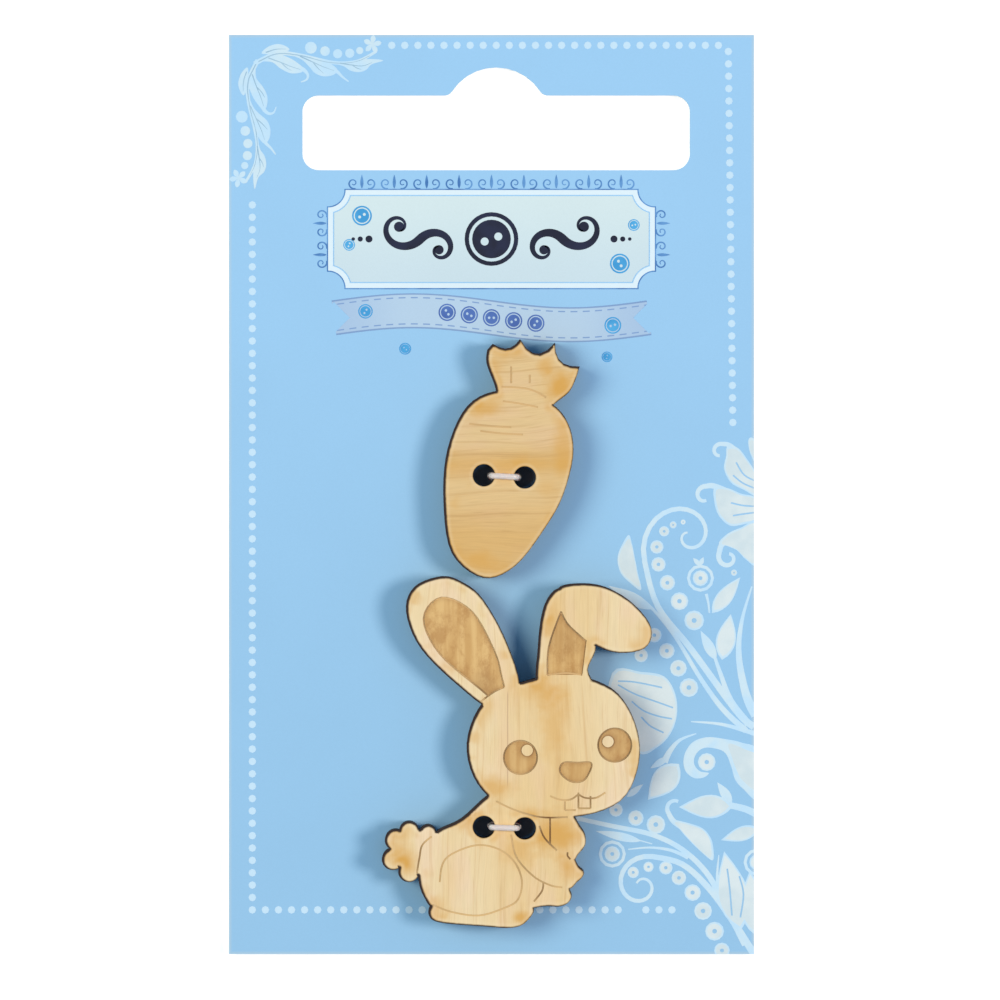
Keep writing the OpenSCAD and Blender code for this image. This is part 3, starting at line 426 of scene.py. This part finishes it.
def tie_plastic():
    """Soft white plastic that lets light through."""
    material, wiring, shader = new_material("tie_plastic_white")
    flow = wiring.noise(wiring.millimetres(), (0.9, 0.9, 0.9))
    wiring.feed(shader.inputs["Base Color"], wiring.mix(flow, colour(250, 238, 234), colour(238, 222, 217)))
    wiring.feed(shader.inputs["Roughness"], wiring.math("MULTIPLY_ADD", flow, 0.15, 0.3))
    wiring.feed(shader.inputs["Subsurface Weight"], 0.4)
    wiring.feed(shader.inputs["Subsurface Radius"], (0.9, 0.7, 0.6))
    wiring.feed(shader.inputs["Subsurface Scale"], 0.4 * MM)
    wiring.feed(shader.inputs["Transmission Weight"], 0.2)
    return material


def dress(node, material):
    mesh = nodes[node].data
    mesh.materials.clear()
    mesh.materials.append(material)


white_tie = tie_plastic()
dress("hang_card", printed_ink("card_light_blue", card_tone))
dress("border_dots", printed_ink("dot_pale", colour(200, 228, 248)))
dress("scrollwork", printed_ink("scroll_pale", scroll_tone))
dress("leaf_fields", printed_ink("leaf_grey", field_tone))
dress("label_plaque", printed_ink("plaque_pale", plaque_tone))
dress("label_border", printed_ink("border_white", colour(224, 240, 250)))
dress("label_filigree", printed_ink("filigree_blue", filigree_tone))
dress("label_ribbon", printed_ink("ribbon_lavender", ribbon_tone))
dress("carrot_tie", white_tie)
dress("rabbit_tie", white_tie)


def add_piece(name, mesh, material):
    mesh.materials.append(material)
    piece = bpy.data.objects.new(name, mesh)
    bpy.context.scene.collection.objects.link(piece)
    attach(piece, "root")
    return piece


# Wooden buttons

GRID = 0.2 * MM
SAMPLE = 0.03 * MM
MERGE = 0.001 * MM
KERF_LEAN = 0.095
KERF_WAY = Vector((-0.86, 0.5))
HOLE_LEAN = -0.15
HOLE_REACH = Vector((2.9, 1.2)) * MM
FAR = 5.0
FACE_DEPTH = 0.5 * MM
FIELD_LEVEL = 0.06 * MM
FIELD_REACH = 0.4 * MM
LINE_LEVEL = 0.12 * MM
LINE_DEPTH = 0.05 * MM


def points_along(edges):
    """Points spread along edges, each with the way that its edge faces."""
    spread = []
    for edge in edges:
        first, last = (vert.co for vert in edge.verts)
        steps = max(1, round((last - first).length / SAMPLE))
        outward = sum((face.normal for face in edge.link_faces if abs(face.normal.z) < 0.5), Vector())
        for step in range(steps + 1):
            spread.append((first.lerp(last, step / steps), outward))
    return spread


def tree_of(points):
    tree = KDTree(len(points))
    for index, point in enumerate(points):
        tree.insert((point.x, point.y, 0.0), index)
    tree.balance()
    return tree


def laser_cut(name, node, tie, material):
    """A copy of a button with its face cut into a fine grid, which carries the distances to the cuts.

    Its scored lines are drawn shallower, as light as a quick pass of a laser leaves them. Those that
    bound an engraved field stay deep.
    """
    low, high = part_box(node)
    tie_middle = sum(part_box(tie), Vector()) / 2
    shape = bmesh.new()
    shape.from_mesh(nodes[node].data)
    bmesh.ops.remove_doubles(shape, verts=shape.verts, dist=MERGE)
    face_level = high.z - FACE_DEPTH

    def upper(face):
        return face.normal.z > 0.5 and face.calc_center_median().z > face_level

    def lowest(edge):
        return min(vert.co.z for face in edge.link_faces for vert in face.verts)

    def sewing(point):
        """True at the rims of the sewing holes, which lie to both sides of the tie's middle."""
        return all(abs(point[axis] - tie_middle[axis]) < HOLE_REACH[axis] for axis in (0, 1))

    rims = [edge for edge in shape.edges
            if all(vert.co.z > high.z - MERGE for vert in edge.verts)
            and any(not upper(face) for face in edge.link_faces)]
    cuts = points_along([edge for edge in rims if lowest(edge) < face_level])
    marks = points_along([edge for edge in rims if lowest(edge) >= face_level])
    for axis in (0, 1):
        count = round((high[axis] - low[axis]) / GRID)
        for step in range(1, count):
            faces = [face for face in shape.faces if upper(face)]
            edges = list({edge for face in faces for edge in face.edges})
            corners = list({vert for face in faces for vert in face.verts})
            place = low.copy()
            place[axis] = low[axis] + (high[axis] - low[axis]) * step / count
            way = Vector((0.0, 0.0, 0.0))
            way[axis] = 1.0
            bmesh.ops.bisect_plane(shape, geom=corners + edges + faces, dist=MERGE, plane_co=place,
                                   plane_no=way)
    mesh = bpy.data.meshes.new(name)
    shape.to_mesh(mesh)
    shape.free()
    cut_tree = tree_of([point for point, _ in cuts])
    mark_tree = tree_of([point for point, _ in marks])
    field_tree = tree_of([vert.co for vert in mesh.vertices
                          if FIELD_LEVEL < high.z - vert.co.z < LINE_LEVEL])
    edge_mm = mesh.attributes.new("edge_mm", "FLOAT", "POINT")
    mark_mm = mesh.attributes.new("mark_mm", "FLOAT", "POINT")
    scored = mesh.attributes.new("scored", "FLOAT", "POINT")
    for vert in mesh.vertices:
        flat = (vert.co.x, vert.co.y, 0.0)
        point, index, distance = cut_tree.find(flat)
        lean = HOLE_LEAN if sewing(point) else KERF_LEAN * cuts[index][1].xy.normalized().dot(KERF_WAY)
        edge_mm.data[vert.index].value = min(FAR, distance * PER_MM - lean)
        mark_mm.data[vert.index].value = min(FAR, mark_tree.find(flat)[2] * PER_MM)
        if LINE_LEVEL < high.z - vert.co.z < FACE_DEPTH:
            scored.data[vert.index].value = 1.0
            if not field_tree.find_range(flat, FIELD_REACH):
                vert.co.z = high.z - LINE_DEPTH
    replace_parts(add_piece(name, mesh, material), node)


rabbit_maple = wood(
    "rabbit_pale_wood", "rabbit_button", 0.0,
    (colour(238, 213, 169), colour(240, 212, 176), colour(229, 188, 120), colour(208, 164, 108)),
    [(5.6, 2.2, 0.25), (-0.6, 2.0, -0.25), (9.8, 2.4, -0.2)],
    [(1.38, -25.2, -16.6)],
    [(-0.5, -25.1, 3.0, 1.8, 0.72), (4.2, -16.9, 3.2, 2.0, 0.45), (5.3, -19.2, 1.9, 4.6, 0.5),
     (2.4, -30.3, 2.2, 2.6, 0.55), (5.4, -29.0, 3.2, 2.6, 0.9), (6.6, -31.8, 1.6, 1.6, 0.6),
     (2.5, -36.1, 1.1, 0.9, 0.85), (-7.4, -31.2, 1.5, 2.0, 0.65), (-1.2, -27.6, 1.8, 1.2, 0.35),
     (3.6, -27.4, 1.2, 1.0, 0.4), (5.2, -10.2, 1.2, 3.0, 0.4)],
    [(8.1, -26.1, 1.9, 1.4, 0.65), (-6.3, -30.6, 1.2, 2.6, 0.6), (6.6, -31.0, 1.6, 1.4, 0.8),
     (4.6, -27.4, 2.8, 1.0, 0.6), (4.9, -29.0, 1.8, 2.2, 0.9), (4.1, -34.0, 1.6, 1.6, 0.65),
     (3.0, -31.5, 2.0, 2.6, 0.35),
     (6.4, -12.4, 2.4, 2.8, 0.7), (-0.6, -16.2, 1.8, 1.8, 0.8), (3.2, -29.2, 1.2, 1.4, 0.4),
     (2.4, -22.4, 3.2, 3.2, 0.4), (10.4, -21.3, 3.2, 3.2, 0.6), (7.1, -23.6, 2.6, 2.0, 0.45)],
    colour(216, 182, 130))
carrot_maple = wood(
    "carrot_amber_wood", "carrot_button", math.radians(88),
    (colour(227, 194, 142), colour(228, 193, 146), colour(217, 170, 98), colour(188, 142, 84)),
    [(-2.6, 2.0, 0.75), (4.0, 6.0, 0.45), (-9.0, 5.0, -0.3)],
    [],
    [(5.8, 9.2, 2.2, 1.9, 1.0), (4.6, 11.0, 0.9, 1.2, 0.6), (1.9, 12.2, 1.6, 0.9, 0.5),
     (-0.6, 7.3, 2.2, 1.1, 0.65), (6.1, 3.8, 1.5, 3.2, 0.6), (-1.1, -5.6, 2.4, 1.3, 0.7),
     (3.0, 2.6, 5.0, 0.7, 0.35), (4.8, 0.6, 1.6, 1.2, 0.35)],
    [],
    colour(214, 178, 126))
laser_cut("rabbit", "rabbit_button", "rabbit_tie", rabbit_maple)
laser_cut("carrot", "carrot_button", "carrot_tie", carrot_maple)


# Ornament printed on the label

INK_RISE = 0.01 * MM
TRIM_BASE = card_high.z
TRIM_DEPTH = plaque_high.z + INK_RISE - TRIM_BASE
VOLUTE_STEP = math.radians(8)
VOLUTE_TURN = math.radians(410)
VOLUTE_END = 0.17
LEAN_ANGLE = math.radians(30)
DOT_SEGMENTS = 24
MOTIF_RIM, MOTIF_FACE, MOTIF_HOLE, MOTIF_HOLE_REACH = 0.84, 0.72, 0.15, 0.27


def on_label(x, y):
    """A place in millimetres from the plaque's middle, on the card's face."""
    return Vector(((plaque_middle.x + x) * MM, (plaque_middle.y + y) * MM, TRIM_BASE))


def volute(shape, root, middle, turn, end_share):
    """A tapering spiral: the root edge turned about a middle and drawn in to it."""
    steps = round(abs(turn) / VOLUTE_STEP)
    share = end_share ** (1 / steps)
    for _ in range(steps):
        grown = bmesh.ops.extrude_edge_only(shape, edges=[root])["geom"]
        corners = [item for item in grown if isinstance(item, bmesh.types.BMVert)]
        bmesh.ops.rotate(shape, verts=corners, cent=middle, matrix=Matrix.Rotation(turn / steps, 3, "Z"))
        bmesh.ops.scale(shape, verts=corners, vec=(share, share, 1.0), space=Matrix.Translation(-middle))
        root = next(item for item in grown
                    if isinstance(item, bmesh.types.BMEdge) and set(item.verts) == set(corners))


def dot(shape, place, radius):
    bmesh.ops.create_circle(shape, cap_ends=True, segments=DOT_SEGMENTS, radius=radius * MM,
                            matrix=Matrix.Translation(place))


def flourish(name, material):
    """A lying S with a ball in each curl and a row of dots, on both sides of the label's middle."""
    shape = bmesh.new()
    lean = Vector((math.cos(LEAN_ANGLE), math.sin(LEAN_ANGLE), 0.0)) * MM
    root = on_label(6.1, 0.0)
    curls = [(root + lean * 2.1, 0.44), (root - lean * 1.85, 0.4)]
    ends = [bmesh.ops.create_vert(shape, co=root + lean * side)["vert"][0] for side in (-0.42, 0.42)]
    start = bmesh.ops.contextual_create(shape, geom=ends)["edges"][0]
    for middle, ball in curls:
        volute(shape, start, middle, VOLUTE_TURN, VOLUTE_END)
        dot(shape, middle, ball)
    for x, radius in ((10.5, 0.3), (11.25, 0.22), (11.85, 0.15)):
        dot(shape, on_label(x, 0.0), radius)
    bmesh.ops.mirror(shape, geom=shape.verts[:] + shape.edges[:] + shape.faces[:], axis="X",
                     matrix=Matrix.Translation((-plaque_middle.x * MM, 0.0, 0.0)), merge_dist=-1.0)
    grown = bmesh.ops.extrude_face_region(shape, geom=shape.faces[:])["geom"]
    bmesh.ops.translate(shape, vec=(0.0, 0.0, TRIM_DEPTH),
                        verts=[item for item in grown if isinstance(item, bmesh.types.BMVert)])
    bmesh.ops.recalc_face_normals(shape, faces=shape.faces)
    mesh = bpy.data.meshes.new(name)
    shape.to_mesh(mesh)
    shape.free()
    add_piece(name, mesh, material)


def drawn(outline):
    """A curve made mesh."""
    holder = bpy.data.objects.new(outline.name + "_outline", outline)
    bpy.context.scene.collection.objects.link(holder)
    mesh = bpy.data.meshes.new_from_object(holder.evaluated_get(bpy.context.evaluated_depsgraph_get()))
    bpy.data.objects.remove(holder)
    mesh.name = outline.name
    return mesh


def printed_buttons(name, motifs, material):
    """Two-hole buttons, each with its place, its radius and its turn: a rim, a face and two bare holes."""
    outline = bpy.data.curves.new(name, "CURVE")
    outline.dimensions = "2D"
    outline.fill_mode = "BOTH"
    outline.extrude = TRIM_DEPTH / 2
    outline.resolution_u = 8

    def circle(x, y, radius):
        spline = outline.splines.new("BEZIER")
        spline.bezier_points.add(3)
        spline.use_cyclic_u = True
        for quarter, point in enumerate(spline.bezier_points):
            angle = quarter * math.pi / 2
            point.co = ((x + radius * math.cos(angle)) * MM, (y + radius * math.sin(angle)) * MM, 0.0)
            point.handle_left_type = point.handle_right_type = "AUTO"

    for x, y, radius, turn in motifs:
        for share in (1.0, MOTIF_RIM, MOTIF_FACE):
            circle(x, y, radius * share)
        for side in (-1, 1):
            reach = side * radius * MOTIF_HOLE_REACH
            circle(x + reach * math.cos(turn), y + reach * math.sin(turn), radius * MOTIF_HOLE)
    mesh = drawn(outline)
    mesh.transform(Matrix.Translation(on_label(0.0, 0.0) + Vector((0.0, 0.0, TRIM_DEPTH / 2))))
    add_piece(name, mesh, material)


def on_ribbon(x):
    """Height of the ribbon's wave, from the plaque's middle."""
    rise = ribbon_rise * math.sin(2 * math.pi * (x / ribbon_width + 0.5))
    return ribbon_middle.y - plaque_middle.y + rise


def clouded_ink(name, first, second):
    return printed_ink(name, lambda wiring: wiring.clouds(0.6, first, second))


navy = clouded_ink("ornament_navy", colour(30, 36, 66), colour(22, 26, 50))
blue = clouded_ink("ornament_blue", colour(82, 116, 188), colour(70, 102, 174))
bright = clouded_ink("ornament_bright", colour(80, 172, 228), colour(62, 154, 214))
flourish("label_flourish", navy)
printed_buttons("label_button", [(0.0, 0.0, 2.3, math.radians(20))], navy)
printed_buttons("ribbon_buttons",
                [(x, on_ribbon(x), 0.74, math.radians(15 * x)) for x in (-3.8, -1.9, 0.0, 1.9, 3.8)],
                blue)
printed_buttons("loose_buttons",
                [(-11.1, 2.0, 0.85, 0.5), (-12.2, -0.5, 0.5, 1.2), (11.0, -2.1, 0.85, 2.1),
                 (12.2, 1.2, 0.5, 0.2), (-10.8, -6.2, 0.62, 1.0), (10.4, -7.4, 0.72, 0.3),
                 (-7.4, -9.4, 0.5, 2.4), (9.9, -10.1, 0.45, 1.4)],
                bright)


# Veins of the spray in the card's top left corner

VEIN_HALF = 0.055 * MM
VEIN_FLAT = 0.18
VEIN_TIP = 0.3
VEIN_SHARES = (
    ((0.056, -0.051), (0.09, -0.0365), (0.13, -0.0385), (0.2, -0.0535), (0.245, -0.05), (0.268, -0.04)),
    ((0.07, -0.0335), (0.09, -0.0275), (0.108, -0.027)),
    ((0.075, -0.044), (0.1, -0.053), (0.12, -0.061), (0.136, -0.066)),
    ((0.1, -0.053), (0.109, -0.062), (0.119, -0.068)),
    ((0.135, -0.0405), (0.16, -0.052), (0.18, -0.061), (0.2, -0.068)),
    ((0.16, -0.052), (0.169, -0.063), (0.18, -0.073)),
    ((0.212, -0.054), (0.235, -0.0575), (0.255, -0.059), (0.272, -0.053)),
    ((0.235, -0.0575), (0.243, -0.063), (0.252, -0.066)))


def leaf_veins(name, material):
    """Thin lines that taper to their tips, on both arms of the spray."""
    strokes = bpy.data.curves.new(name, "CURVE")
    strokes.dimensions = "3D"
    strokes.bevel_depth = VEIN_HALF
    strokes.bevel_resolution = 1
    strokes.resolution_u = 6
    strokes.use_fill_caps = True
    width = card_high.x - card_low.x
    for mirrored in (False, True):
        for shares in VEIN_SHARES:
            spline = strokes.splines.new("BEZIER")
            spline.bezier_points.add(len(shares) - 1)
            spline.use_smooth = False
            for index, (point, (x, y)) in enumerate(zip(spline.bezier_points, shares)):
                across, along = (-y, -x) if mirrored else (x, y)
                point.co = (width * across, width * along, 0.0)
                point.radius = 1.0 - (1.0 - VEIN_TIP) * index / (len(shares) - 1)
                point.handle_left_type = point.handle_right_type = "AUTO"
    mesh = drawn(strokes)
    corner = Vector((card_low.x, card_high.y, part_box("scrollwork")[1].z))
    mesh.transform(Matrix.Translation(corner) @ Matrix.Diagonal((1.0, 1.0, VEIN_FLAT, 1.0)))
    add_piece(name, mesh, material)


vein_blue = clouded_ink("vein_blue", colour(152, 188, 214), colour(168, 200, 222))
leaf_veins("spray_veins", vein_blue)


# Floor, light and camera


def white_floor():
    """White where the camera sees it, with the card's shadow. Clear from below and to the lamps."""
    material = bpy.data.materials.new("floor_white")
    wiring = emptied(material)
    path = wiring.node("ShaderNodeLightPath").outputs
    seen = wiring.math("MAXIMUM", path["Is Camera Ray"], path["Is Glossy Ray"])
    seen = wiring.math("MAXIMUM", seen, path["Is Transmission Ray"])
    matt = wiring.node("ShaderNodeBsdfDiffuse", {"Color": (0.7, 0.7, 0.7, 1.0)})
    glow = wiring.node("ShaderNodeEmission", {"Strength": wiring.math("MULTIPLY", seen, 0.5)})
    both = wiring.node("ShaderNodeAddShader", {0: matt.outputs[0], 1: glow.outputs[0]})
    clear = wiring.node("ShaderNodeBsdfTransparent")
    behind = wiring.node("ShaderNodeNewGeometry").outputs["Backfacing"]
    open_way = wiring.math("MAXIMUM", behind, path["Is Shadow Ray"])
    shown = wiring.node("ShaderNodeMixShader", {0: open_way, 1: both.outputs[0], 2: clear.outputs[0]})
    wiring.node("ShaderNodeOutputMaterial", {"Surface": shown.outputs[0]})
    return material


FLOOR_RADIUS = 4.0
FLOOR_SEGMENTS = 64

sheet = bmesh.new()
bmesh.ops.create_circle(sheet, cap_ends=True, segments=FLOOR_SEGMENTS, radius=FLOOR_RADIUS)
floor_mesh = bpy.data.meshes.new("floor")
sheet.to_mesh(floor_mesh)
sheet.free()
floor_mesh.materials.append(white_floor())
floor = bpy.data.objects.new("floor", floor_mesh)
bpy.context.scene.collection.objects.link(floor)

world = bpy.data.worlds.new("soft_room")
bpy.context.scene.world = world
room = emptied(world)
path = room.node("ShaderNodeLightPath").outputs
seen = room.math("MAXIMUM", path["Is Camera Ray"], path["Is Transmission Ray"])
backdrop = room.node("ShaderNodeBackground", {"Color": (1.0, 1.0, 1.0, 1.0), "Strength": 1.0})
ambient = room.node("ShaderNodeBackground", {"Color": (0.7, 1.23, 1.78, 1.0), "Strength": 0.24})
shown = room.node("ShaderNodeMixShader", {0: seen, 1: ambient.outputs[0], 2: backdrop.outputs[0]})
room.node("ShaderNodeOutputWorld", {"Surface": shown.outputs[0]})


def soft_lamp(name, place, size, power, tint):
    data = bpy.data.lights.new(name, "AREA")
    data.shape = "DISK"
    data.size = size
    data.energy = power
    data.color = tint
    lamp = bpy.data.objects.new(name, data)
    lamp.location = place
    lamp.rotation_euler = (-Vector(place)).to_track_quat("-Z", "Y").to_euler()
    bpy.context.scene.collection.objects.link(lamp)


soft_lamp("key_lamp", (0.5, 0.0, 0.62), 0.24, 3.42, (1.0, 0.84, 0.72))
soft_lamp("fill_lamp", (-0.48, 0.1, 0.62), 0.45, 3.44, (1.0, 0.935, 0.735))
soft_lamp("under_lamp", (0.3, -0.3, -0.7), 0.5, 3.8, (0.98, 0.98, 1.0))

VIEW_DISTANCE = 0.8
VIEW_WIDTH = 85.714 * MM
VIEW_SHIFT = Vector((0.73 * MM, -0.47 * MM, 0.0))

camera_data = bpy.data.cameras.new("camera")
camera_data.sensor_width = 36.0
camera_data.lens = camera_data.sensor_width * VIEW_DISTANCE / VIEW_WIDTH
camera_data.clip_end = 20.0
camera = bpy.data.objects.new("camera", camera_data)
camera.location = Vector((0.0, 0.0, card_high.z + VIEW_DISTANCE)) + VIEW_SHIFT
bpy.context.scene.collection.objects.link(camera)
bpy.context.scene.camera = camera
bpy.context.scene.view_settings.view_transform = "Standard"
